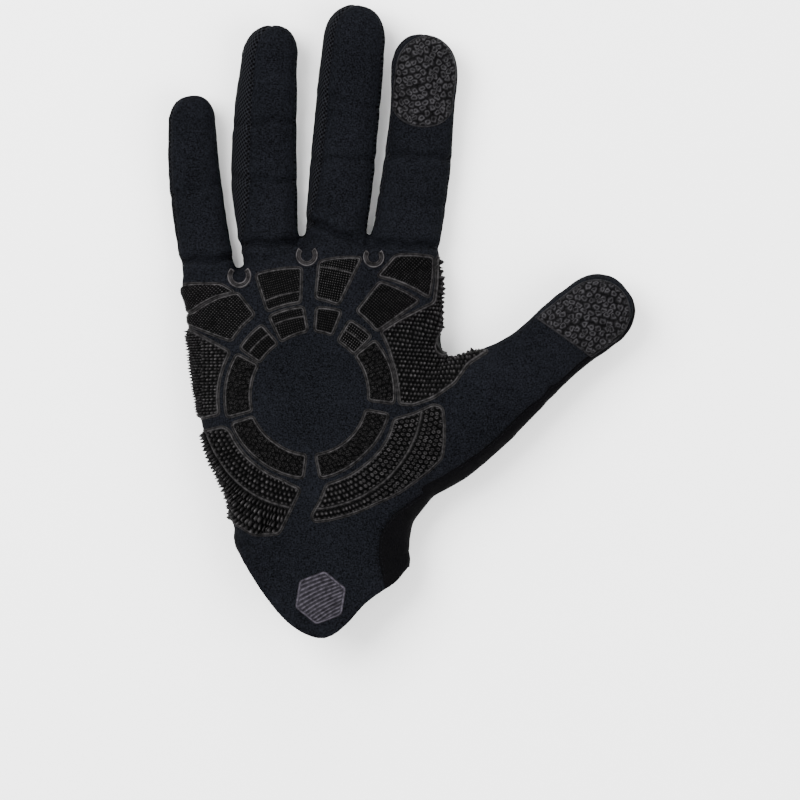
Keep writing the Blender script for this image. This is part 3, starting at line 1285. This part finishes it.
@dataclass
class Trim:
    """The crotch rings, the touch tips and the cuff's badge."""

    hand: Hand
    tree: Tree
    ring_radius: float = 4.25
    ring_band: float = 1.95
    ring_opening: float = 96.0
    badge_radius: float = 10.1
    badge_turn: float = 9.0
    badge_place: tuple = (0.043, -0.833)
    index_share: float = 0.76
    rib_pitch: float = 1.3
    print_pitch: float = 2.5
    inset: float = 0.6
    # node, across, up, scale
    rings: tuple = (
        ("crotch_ring_little", -0.276, 0.722, 1.05),
        ("crotch_ring_middle", -0.011, 0.846, 0.95),
        ("crotch_ring_index", 0.25, 0.836, 0.92),
    )

    def sheet(self, centre: Array, outline: Array, cell: float, lowest: float) -> Skin:
        """A fine sheet over an outline round a centre, with its depth inside it as column 11."""
        reach = np.abs(outline - centre).max() * 1.7
        chart = Chart(self.tree, tuple(centre), reach, 0.4, 240)
        sheet = chart.sheet(np.full(2, -reach), np.full(2, reach), 0.0, cell)
        value = np.minimum(inside(sheet.points, outline), sheet.points[:, 2] - lowest)
        keep = (value[sheet.triangles] > -1).all(1)
        sheet = Skin(np.column_stack([sheet.points, value]), sheet.triangles[keep])
        sheet, _, side = sheet.cut(sheet.points[:, 11], 0.02)
        return largest(sheet.part(side > 0))

    def raised(self, sheet: Skin, height: Array, light: Array, name: str) -> bpy.types.Object:
        """Raises a sheet by a height, closes it underneath and makes it an object."""
        out = sheet.points[:, 8:11]
        base = sheet.points[:, :3].copy()
        sheet.points[:, 3] = np.clip(light, 0, 1)
        sheet.points[:, :3] = base + out * (height + 0.04)[:, None]
        return sheet.backed(base - out * 0.2).mesh(name)

    def build_ring(self, name: str, across: float, up: float, scale: float) -> bpy.types.Object:
        """A band round an arc that is open towards the fingers, with a bead along both edges."""
        centre = np.array([across * self.hand.palm.width, up * self.hand.palm.web_reach])
        angle = np.radians(90 + self.ring_opening / 2 + (360 - self.ring_opening) * np.linspace(0, 1, 40))
        ray = np.column_stack([np.cos(angle), np.sin(angle)])
        radius = self.ring_radius * scale
        outline = np.vstack([centre + ray * radius, (centre + ray * (radius - self.ring_band))[::-1]])
        sheet = self.sheet(centre, outline, 0.17, 7.0)
        depth = np.maximum(sheet.points[:, 11], 0)
        bead = bell(depth - 0.26, 0.17)
        middle = smoothstep(depth, 0.55, 0.8)
        height = -0.08 + 0.25 * smoothstep(depth, 0, 0.15) + 0.4 * bead + 0.25 * middle
        outer = smoothstep(np.hypot(sheet.points[:, 4], sheet.points[:, 5]), radius - 1.1, radius - 0.8)
        light = 0.12 + 0.95 * bead * (0.3 + 0.7 * outer) + 0.1 * middle
        return self.raised(sheet, height, light, name + "_band")

    def index_outline(self) -> tuple[Array, Array]:
        """The index tip's patch: the tip's outline drawn in, with a round lower edge."""
        index = self.hand.fingers[3]
        half = float(index.half_width(np.array(self.index_share))) - self.inset
        reach = index.reach() * (1 - self.index_share) - self.inset
        top = np.radians(np.linspace(0, 180, 31))
        low = np.radians(np.linspace(180, 360, 31))[1:-1]
        sag = (half + self.inset) * 0.72
        across = np.concatenate([half * np.cos(top), half * np.cos(low)])
        along = np.concatenate([reach - half * 1.12 * (1 - np.sin(top)), sag * (np.sin(low) - 0.35)])
        share = np.full(len(across), self.index_share)
        _, forward, side = index.axes()
        start = index.place(share, 0 * across, 0 * across)[:, :2]
        outline = start + side * across[:, None] + forward * along[:, None]
        return outline, index.place(np.array([0.82]), np.zeros(1), np.zeros(1))[0, :2]

    def thumb_outline(self) -> tuple[Array, Array]:
        """The thumb tip's patch: the tip's outline drawn in, with a slanting straight lower edge."""
        thumb = self.hand.thumb
        half = thumb.width * 0.5 - self.inset - 0.9
        turn = np.radians(np.linspace(-90, 90, 33))
        end = 1 - (self.inset + 1.2) / thumb.length
        share = end - half * 1.04 / thumb.length * (1 - np.cos(turn))
        share = np.concatenate([[0.67, 0.748], share])
        across = np.concatenate([[-half * 0.96, half * 0.96], -half * np.sin(turn)])
        outline = thumb.place(share, across, 0 * share)[:, :2]
        return outline, thumb.place(np.array([0.8]), np.zeros(1), np.zeros(1))[0, :2]

    def build_tip(
        self, name: str, outline: Array, centre: Array, lowest: float, turn: float
    ) -> bpy.types.Object:
        """A patch printed with small irregular rings, inside a thin bead."""
        sheet = self.sheet(centre, outline, 0.25, lowest)
        u, v = sheet.points[:, 4:6].T
        depth = np.maximum(sheet.points[:, 11], 0)
        a = u * math.cos(turn) + v * math.sin(turn)
        b = v * math.cos(turn) - u * math.sin(turn)
        a = a + 0.22 * np.sin(2.4 * b + 1.6 * np.sin(1.7 * a))
        b = b + 0.22 * np.sin(2.1 * a + 1.9 * np.sin(1.3 * b))
        gap, spare = cells(a, b, self.print_pitch, 0.5, 21 + turn)
        line = bell(gap - 0.78, 0.24) * smoothstep(spare, 0.1, 0.35)
        rest = smoothstep(spare, 0.1, 0.5)
        well = smoothstep(depth, 0.7, 1.0)
        bead = bell(depth - 0.4, 0.2)
        height = -0.1 + 0.22 * smoothstep(depth, 0, 0.3) + (0.12 * rest + 0.2 * line) * well + 0.14 * bead
        light = (0.12 * rest + 0.8 * line) * well + 0.4 * bead + 0.12 * (1 - well)
        return self.raised(sheet, height, light, name + "_print")

    def build_badge(self) -> bpy.types.Object:
        """A hexagon with a bead round it and slanting ribs inside."""
        across, up = self.badge_place
        centre = np.array([across * self.hand.palm.width, up * self.hand.palm.cuff_reach])
        angle = np.radians(60 * np.arange(6) + 30 - self.badge_turn)
        outline = centre + self.badge_radius * np.column_stack([np.cos(angle), np.sin(angle)])
        sheet = self.sheet(centre, rounded(outline, self.badge_radius * 0.12), 0.21, 8.0)
        u, v = sheet.points[:, 4:6].T
        depth = np.maximum(sheet.points[:, 11], 0)
        well = smoothstep(depth, 1.0, 1.3)
        across = v * 0.89 - u * 0.45 + 0.02 * u * v
        rib = (0.5 + 0.5 * np.cos(across * 2 * np.pi / self.rib_pitch)) ** 2
        bead = bell(depth - 0.62, 0.3)
        height = -0.1 + 0.4 * smoothstep(depth, 0, 0.25) + 0.3 * rib * well + 0.3 * bead
        return self.raised(sheet, height, 0.08 + 0.34 * rib * well + 0.42 * bead, "cuff_badge_ribs")

    def build(self) -> None:
        """Makes every trim piece and lets it stand for its node."""
        for name, across, up, scale in self.rings:
            settle(self.build_ring(name, across, up, scale), Silicone(), name)
        outline, centre = self.index_outline()
        index = self.hand.fingers[3]
        lowest = float(index.middle_height(np.array(0.9)))
        tip = self.build_tip("touch_tip_index", outline, centre, lowest, 0.3)
        settle(tip, TouchPrint(), "touch_tip_index")
        outline, centre = self.thumb_outline()
        tip = self.build_tip("touch_tip_thumb", outline, centre, self.hand.thumb.tip_height, 0.9)
        settle(tip, TouchPrint(), "touch_tip_thumb")
        settle(self.build_badge(), BadgeSilicone(), "cuff_badge")


@dataclass
class Stitching:
    """Short raised stitches along the seams."""

    hand: Hand
    tree: Tree
    length: float = 1.5
    thick: float = 0.2
    step: float = 2.1
    offset: float = 0.9

    def seam_of(self, limb: Limb, left: bool, low: float, high: float) -> Array:
        """Places along a limb's seam: its ray from the centre line is followed out to the skin."""
        share = np.linspace(low, high, 120)
        if isinstance(limb, Thumb):
            rows = np.array(limb.seams, float)
            angle = np.radians(np.interp(share, rows[:, 0], rows[:, 1 if left else 2]))
        else:
            angle = np.radians(limb.left_angle(share) if left else np.full(len(share), limb.right_seam))
        turn = -1 if left else 1
        found = []
        for extra in (0.0, 30.0):
            across = turn * extra * np.cos(angle)
            height = limb.middle_height(share) + extra * np.sin(angle)
            found.append(limb.place(share, across, height))
        centre, out = found
        hits = []
        for start, end in zip(centre.tolist(), out.tolist()):
            way = Vector(end) - Vector(start)
            hit = self.tree.tree.ray_cast(Vector(start), way.normalized(), 40)[0]
            hits.append(tuple(hit) if hit else (np.nan,) * 3)
        places = np.array(hits)
        return places[~np.isnan(places[:, 0])]

    def cuff_seam(self) -> Array:
        """Places along the seam between the palm cloth and the cuff's radial side."""
        rows = mapped(self.hand.palm.radial_seam[:8], self.hand.palm.width, self.hand.palm.cuff_reach)
        gone = np.concatenate([[0], np.cumsum(np.linalg.norm(np.diff(rows, axis=0), axis=1))])
        at = np.linspace(0, gone[-1], 120)
        line = np.column_stack([np.interp(at, gone, rows[:, k]) for k in range(2)])
        places, _ = self.tree.top(line)
        return places[self.hand.palm.kept(places) > 1.2]

    def stitches(self, line: Array, offset: float) -> tuple[Array, Array, Array]:
        """Middles, directions and directions out of stitches along a line, moved sideways on the skin."""
        gone = np.concatenate([[0], np.cumsum(np.linalg.norm(np.diff(line, axis=0), axis=1))])
        at = np.arange(self.step, gone[-1] - self.step, self.step)
        place, ahead = (
            np.column_stack([np.interp(at + more, gone, line[:, k]) for k in range(3)]) for more in (0, 0.4)
        )
        place, out = self.tree.nearest(place)
        way = ahead - place
        way = way - out * (way * out).sum(1)[:, None]
        way = way / np.maximum(np.linalg.norm(way, axis=1), 1e-9)[:, None]
        place, out = self.tree.nearest(place + np.cross(way, out) * offset)
        return place, way, out

    def capsules(self, place: Array, way: Array, out: Array) -> Skin:
        """A six-sided rod with narrowed ends for each stitch, sunk a little at its ends."""
        along = np.array([-0.5, -0.38, 0, 0.38, 0.5]) * self.length
        width = np.array([0.25, 0.85, 1, 0.85, 0.25]) * self.thick
        sink = np.array([-0.12, 0.02, 0.1, 0.02, -0.12])
        rows, sides = len(along), 6
        count = rows * sides
        angle = np.linspace(0, 2 * np.pi, sides, endpoint=False)
        side = np.cross(out, way)
        centre = place[:, None] + way[:, None] * along[None, :, None] + out[:, None] * sink[None, :, None]
        ring = side[:, None, None] * np.cos(angle)[None, None, :, None]
        ring = ring + out[:, None, None] * np.sin(angle)[None, None, :, None]
        points = centre[:, :, None] + ring * width[None, :, None, None]
        points = np.concatenate([points.reshape(len(place), count, 3), centre[:, [0, -1]]], axis=1)
        index = np.arange(count).reshape(rows, sides)
        low, high = index[:-1], index[1:]
        low_next, high_next = np.roll(low, -1, axis=1), np.roll(high, -1, axis=1)
        faces = [np.stack([low, high_next, low_next], -1).reshape(-1, 3)]
        faces.append(np.stack([low, high, high_next], -1).reshape(-1, 3))
        faces.append(np.column_stack([np.full(sides, count), index[0], np.roll(index[0], -1)]))
        faces.append(np.column_stack([np.full(sides, count + 1), np.roll(index[-1], -1), index[-1]]))
        faces = np.vstack(faces)[:, ::-1]
        moved = faces[None] + (count + 2) * np.arange(len(place))[:, None, None]
        return Skin(points.reshape(-1, 3), moved.reshape(-1, 3))

    def build(self) -> bpy.types.Object:
        """Makes all stitches as one piece of thread."""
        little, ring, middle, _ = self.hand.fingers
        lines = [
            (self.seam_of(ring, True, 0.2, 0.98), -self.offset),
            (self.seam_of(middle, True, 0.16, 0.98), -self.offset),
            (self.seam_of(little, True, 0.16, 0.96), -self.offset),
            (self.seam_of(self.hand.thumb, False, 0.12, 0.96), self.offset),
            (self.cuff_seam(), self.offset),
            (self.cuff_seam(), -self.offset),
        ]
        found = [self.stitches(line, offset) for line, offset in lines]
        place, way, out = (np.vstack([part[k] for part in found]) for k in range(3))
        piece = self.capsules(place, way, out).mesh("seam_stitches")
        piece.data.materials.append(Thread().material())
        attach(piece, "root")
        log.info("seam_stitches: %d stitches", len(place))
        return piece


class Wire:
    """One value in a material: an operator on it adds a Math node."""

    def __init__(self, tree: bpy.types.NodeTree, socket: bpy.types.NodeSocket) -> None:
        """Keeps the tree and the socket that gives the value."""
        self.tree = tree
        self.socket = socket

    def math(self, operation: str, *others: "Wire | float") -> "Wire":
        """Adds a Math node that works on this value and others."""
        inputs = dict(enumerate((self, *others)))
        return make(self.tree, "ShaderNodeMath", {"operation": operation}, inputs)

    def __add__(self, other: "Wire | float") -> "Wire":
        """The sum."""
        return self.math("ADD", other)

    def __radd__(self, other: float) -> "Wire":
        """The sum, with a number first."""
        return self.math("ADD", other)

    def __sub__(self, other: "Wire | float") -> "Wire":
        """The difference."""
        return self.math("SUBTRACT", other)

    def __rsub__(self, other: float) -> "Wire":
        """The difference from a number."""
        return make(self.tree, "ShaderNodeMath", {"operation": "SUBTRACT"}, {0: other, 1: self})

    def __mul__(self, other: "Wire | float") -> "Wire":
        """The product."""
        return self.math("MULTIPLY", other)

    def __rmul__(self, other: float) -> "Wire":
        """The product, with a number first."""
        return self.math("MULTIPLY", other)

    def __pow__(self, other: float) -> "Wire":
        """The power."""
        return self.math("POWER", other)


def make(tree: bpy.types.NodeTree, kind: str, settings: dict, inputs: dict, output: int = 0) -> Wire:
    """Adds a node.

    Args:
        tree: the material's tree.
        kind: the node's type.
        settings: its own settings, set first.
        inputs: a value or a wire for each of its sockets, by name or number.
        output: which of its outputs is given back.

    Returns:
        The output as a wire.
    """
    node = tree.nodes.new(kind)
    for key, value in settings.items():
        setattr(node, key, value)
    for key, value in inputs.items():
        if isinstance(value, Wire):
            tree.links.new(value.socket, node.inputs[key])
        else:
            node.inputs[key].default_value = value
    return Wire(tree, node.outputs[output])


@dataclass(frozen=True)
class Finish:
    """What all finishes share: two shades, a grain and a surface."""

    name: str = "finish"
    dark: tuple = (0.01, 0.01, 0.012)
    light: tuple = (0.03, 0.03, 0.035)
    roughness: float = 0.8
    gloss: float = 0.05
    sheen: float = 0.0
    grain: float = 0.4
    bump: float = 0.3
    depth: float = 0.1

    def noise(self, tree: bpy.types.NodeTree, size: float, detail: float = 2.0) -> Wire:
        """Noise whose lumps have a size in millimetres."""
        where = make(tree, "ShaderNodeTexCoord", {}, {}, 3)
        inputs = {"Vector": where, "Scale": 1 / (size * MM), "Detail": detail}
        return make(tree, "ShaderNodeTexNoise", {}, inputs)

    def mix(self, tree: bpy.types.NodeTree, share: Wire) -> Wire:
        """A colour between the two shades."""
        inputs = {0: share, 6: (*self.dark, 1), 7: (*self.light, 1)}
        return make(tree, "ShaderNodeMix", {"data_type": "RGBA"}, inputs, 2)

    def share(self, tree: bpy.types.NodeTree) -> Wire:
        """How light the surface is, from 0 to 1: slow blotches and a fine grain."""
        grain = (self.noise(tree, self.grain, 3) - 0.5) * 4.6 + 0.5
        return 0.4 * self.noise(tree, 18) + 0.6 * grain

    def relief(self, tree: bpy.types.NodeTree) -> Wire:
        """The height that its bump is made from."""
        return self.noise(tree, self.grain, 3)

    def material(self) -> bpy.types.Material:
        """Makes the material, or gives back the one that is already made."""
        found = bpy.data.materials.get(self.name)
        if found:
            return found
        made = bpy.data.materials.new(self.name)
        made.use_nodes = True
        tree = made.node_tree
        tree.nodes.clear()
        bump_inputs = {"Height": self.relief(tree), "Strength": self.bump, "Distance": self.depth * MM}
        inputs = {
            "Base Color": self.mix(tree, self.share(tree)),
            "Roughness": self.roughness + 0.12 * (self.noise(tree, 3) - 0.5),
            "Specular IOR Level": self.gloss,
            "Sheen Weight": self.sheen,
            "Sheen Roughness": 0.45,
            "Normal": make(tree, "ShaderNodeBump", {}, bump_inputs),
        }
        surface = make(tree, "ShaderNodeBsdfPrincipled", {}, inputs)
        target = tree.nodes.new("ShaderNodeOutputMaterial")
        tree.links.new(surface.socket, target.inputs["Surface"])
        return made


@dataclass(frozen=True)
class BrushedKnit(Finish):
    """The palm's cloth: a dense knit with a short brushed nap."""

    name: str = "brushed_knit"
    dark: tuple = (0.0003, 0.00033, 0.00045)
    light: tuple = (0.0046, 0.0051, 0.0069)
    roughness: float = 0.92
    gloss: float = 0.02
    sheen: float = 0.001
    grain: float = 0.55
    bump: float = 0.55
    depth: float = 0.22


@dataclass(frozen=True)
class MeshKnit(Finish):
    """The back's and the strips' cloth: an open knit with rows of small holes."""

    name: str = "mesh_knit"
    dark: tuple = (0.0002, 0.0002, 0.0003)
    light: tuple = (0.0098, 0.0104, 0.0126)
    roughness: float = 0.9
    gloss: float = 0.015
    sheen: float = 0.001
    pitch: float = 1.45
    bend_height: float = 8.0
    bend: float = 1.3
    bump: float = 0.8
    depth: float = 0.35

    def holes(self, tree: bpy.types.NodeTree) -> Wire:
        """Rows of holes, each row moved on by half: one sine along the hand times one across it.

        Below the fingers' middle the height counts for more, which keeps the place where a row
        closes into a ring on the underside.
        """
        where = make(tree, "ShaderNodeTexCoord", {}, {}, 3)
        split = make(tree, "ShaderNodeSeparateXYZ", {}, {"Vector": where})
        x, y, z = (Wire(tree, split.socket.node.outputs[k]) for k in range(3))
        z = z + self.bend * (z - self.bend_height * MM).math("MINIMUM", 0.0)
        turn = math.pi / (self.pitch * MM)
        first = ((x + z + y * 0.6) * turn).math("SINE")
        second = ((y - (x + z) * 0.6) * turn).math("SINE")
        return (first * second).math("ABSOLUTE")

    def share(self, tree: bpy.types.NodeTree) -> Wire:
        """Light threads round dark holes."""
        threads = (1 - self.holes(tree)) ** 2.3
        return threads * (0.5 + 0.8 * self.noise(tree, 0.5))

    def relief(self, tree: bpy.types.NodeTree) -> Wire:
        """The threads stand proud of the holes."""
        return 1 - self.holes(tree)


@dataclass(frozen=True)
class StretchKnit(Finish):
    """The thumb's back and the cuff's side: a smooth stretch knit with very fine ribs."""

    name: str = "stretch_knit"
    dark: tuple = (0.0005, 0.0005, 0.0006)
    light: tuple = (0.0021, 0.002, 0.0024)
    roughness: float = 0.85
    gloss: float = 0.015
    sheen: float = 0.0
    grain: float = 0.35
    bump: float = 0.35
    depth: float = 0.12

    def relief(self, tree: bpy.types.NodeTree) -> Wire:
        """Fine ribs along the hand with a little noise on them."""
        where = make(tree, "ShaderNodeTexCoord", {}, {}, 3)
        split = make(tree, "ShaderNodeSeparateXYZ", {}, {"Vector": where})
        x, z = (Wire(tree, split.socket.node.outputs[k]) for k in (0, 2))
        ribs = ((x + z * 0.7) * (2 * math.pi / (0.55 * MM))).math("SINE")
        return 0.35 * ribs + self.noise(tree, self.grain)


@dataclass(frozen=True)
class Silicone(Finish):
    """The pads: satin black silicone, lighter and smoother on its beads and tops."""

    name: str = "silicone_print"
    dark: tuple = (0.0002, 0.0002, 0.00025)
    light: tuple = (0.038, 0.036, 0.037)
    roughness: float = 0.42
    gloss: float = 0.012
    sheen: float = 0.0
    grain: float = 0.5
    bump: float = 0.2
    depth: float = 0.05

    def share(self, tree: bpy.types.NodeTree) -> Wire:
        """Light where the piece's own relief is high."""
        relief = make(tree, "ShaderNodeAttribute", {"attribute_name": "relief"}, {}, 2)
        settings = {"operation": "MULTIPLY_ADD", "use_clamp": True}
        patches = make(tree, "ShaderNodeMath", settings, {0: self.noise(tree, 1.7), 1: 2.6, 2: -0.8})
        return relief * (0.35 + 1.3 * patches) + 0.01 * self.noise(tree, 0.5)


@dataclass(frozen=True)
class BadgeSilicone(Silicone):
    """The badge: a little more purple and lighter than the pads."""

    name: str = "badge_silicone"
    dark: tuple = (0.0022, 0.002, 0.0026)
    light: tuple = (0.062, 0.056, 0.07)
    roughness: float = 0.42


@dataclass(frozen=True)
class TouchPrint(Silicone):
    """The touch tips: a thin grey print."""

    name: str = "touch_print"
    dark: tuple = (0.0004, 0.0004, 0.0005)
    light: tuple = (0.0185, 0.018, 0.0195)
    roughness: float = 0.5
    gloss: float = 0.015


@dataclass(frozen=True)
class Thread(Finish):
    """Sewing thread."""

    name: str = "sewing_thread"
    dark: tuple = (0.0004, 0.0004, 0.0005)
    light: tuple = (0.004, 0.004, 0.005)
    gloss: float = 0.02
    roughness: float = 0.75
    grain: float = 0.25


def settle(piece: bpy.types.Object, finish: Finish, node: str) -> None:
    """Gives a piece its finish and slot, lets it stand for a node, and rides it on the one body."""
    piece.data.materials.append(finish.material())
    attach(piece, "root")
    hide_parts(node)
    log.info("%s stands for %s: %d faces", piece.name, node, len(piece.data.polygons))


@dataclass
class Cloth:
    """The cloth panels, cut from one skin, each with its own wall."""

    hand: Hand

    def build(self) -> Tree:
        """Makes every panel.

        Returns:
            The whole skin, for the pieces that lie on it.
        """
        skin, panels = self.hand.skin()
        log.info("skin: %d triangles", len(skin.triangles))
        for name, chosen in panels.items():
            part = largest(skin.part(chosen))
            piece = part.mesh(name.replace("_panel", "") + "_cloth")
            wall = piece.modifiers.new("wall", "SOLIDIFY")
            wall.thickness = self.hand.wall * MM
            wall.offset = -1
            if name == "palm_panel":
                settle(piece, BrushedKnit(), name)
            elif name == "thumb_back_panel":
                settle(piece, StretchKnit(), name)
            else:
                settle(piece, MeshKnit(), name)
        return Tree(skin)


@dataclass
class Studio:
    """A pale floor, soft lights and the camera straight above."""

    centre: tuple[float, float] = (32.85, -1.46)
    plane: float = 11.0
    distance: float = 2600.0
    view_width: float = 292.0
    sensor: float = 36.0
    floor_half: float = 2.5
    # name, place in metres, size in metres, watts
    lights: tuple = (
        ("key", (-0.7, 0.45, 1.1), 0.9, 52),
        ("fill", (0.95, -0.3, 0.9), 1.1, 24),
        ("rim", (0.1, 1.3, 0.45), 0.7, 14),
    )

    def build_floor(self) -> None:
        """A large flat floor under the glove."""
        made = bpy.data.meshes.new("studio_floor")
        half = self.floor_half
        corners = [(-half, -half, 0), (half, -half, 0), (half, half, 0), (-half, half, 0)]
        made.from_pydata(corners, [], [(0, 1, 2, 3)])
        floor = bpy.data.objects.new("studio_floor", made)
        bpy.context.collection.objects.link(floor)
        paint = bpy.data.materials.new("floor_paint")
        paint.use_nodes = True
        shader = paint.node_tree.nodes["Principled BSDF"]
        shader.inputs["Base Color"].default_value = (0.93, 0.93, 0.93, 1)
        shader.inputs["Roughness"].default_value = 0.9
        made.materials.append(paint)

    def build_light(self, name: str, place: tuple, size: float, watts: float) -> None:
        """A square soft light that faces the glove."""
        light = bpy.data.lights.new(name, "AREA")
        light.shape = "SQUARE"
        light.size = size
        light.energy = watts
        lamp = bpy.data.objects.new(name, light)
        bpy.context.collection.objects.link(lamp)
        lamp.location = place
        aim = Vector((0.02, 0, 0)) - Vector(place)
        lamp.rotation_mode = "QUATERNION"
        lamp.rotation_quaternion = aim.to_track_quat("-Z", "Y")

    def build_camera(self) -> None:
        """A camera straight above, whose picture is as wide as the view at the hand's height."""
        camera = bpy.data.cameras.new("camera")
        camera.sensor_width = self.sensor
        camera.lens = self.sensor * self.distance / self.view_width
        camera.clip_start = 0.01
        camera.clip_end = 20
        eye = bpy.data.objects.new("camera", camera)
        bpy.context.collection.objects.link(eye)
        eye.location = (self.centre[0] * MM, self.centre[1] * MM, (self.plane + self.distance) * MM)
        bpy.context.scene.camera = eye

    def build(self) -> None:
        """Makes the floor, the lights, the world and the camera."""
        self.build_floor()
        for name, place, size, watts in self.lights:
            self.build_light(name, place, size, watts)
        world = bpy.data.worlds.new("studio")
        world.use_nodes = True
        world.node_tree.nodes["Background"].inputs["Color"].default_value = (1, 1, 1, 1)
        world.node_tree.nodes["Background"].inputs["Strength"].default_value = 1.75
        bpy.context.scene.world = world
        self.build_camera()


def main() -> None:
    """Builds the studio, the cloth and everything that lies on it."""
    logging.basicConfig(level=logging.INFO, format="%(name)s: %(message)s")
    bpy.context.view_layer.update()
    Studio().build()
    hand = Hand()
    tree = Cloth(hand).build()
    Grip().build(Chart(tree, (0.0, 0.0), reach=88.0, rays=720))
    Trim(hand, tree).build()
    Stitching(hand, tree).build()


if __name__ == "__main__":
    main()
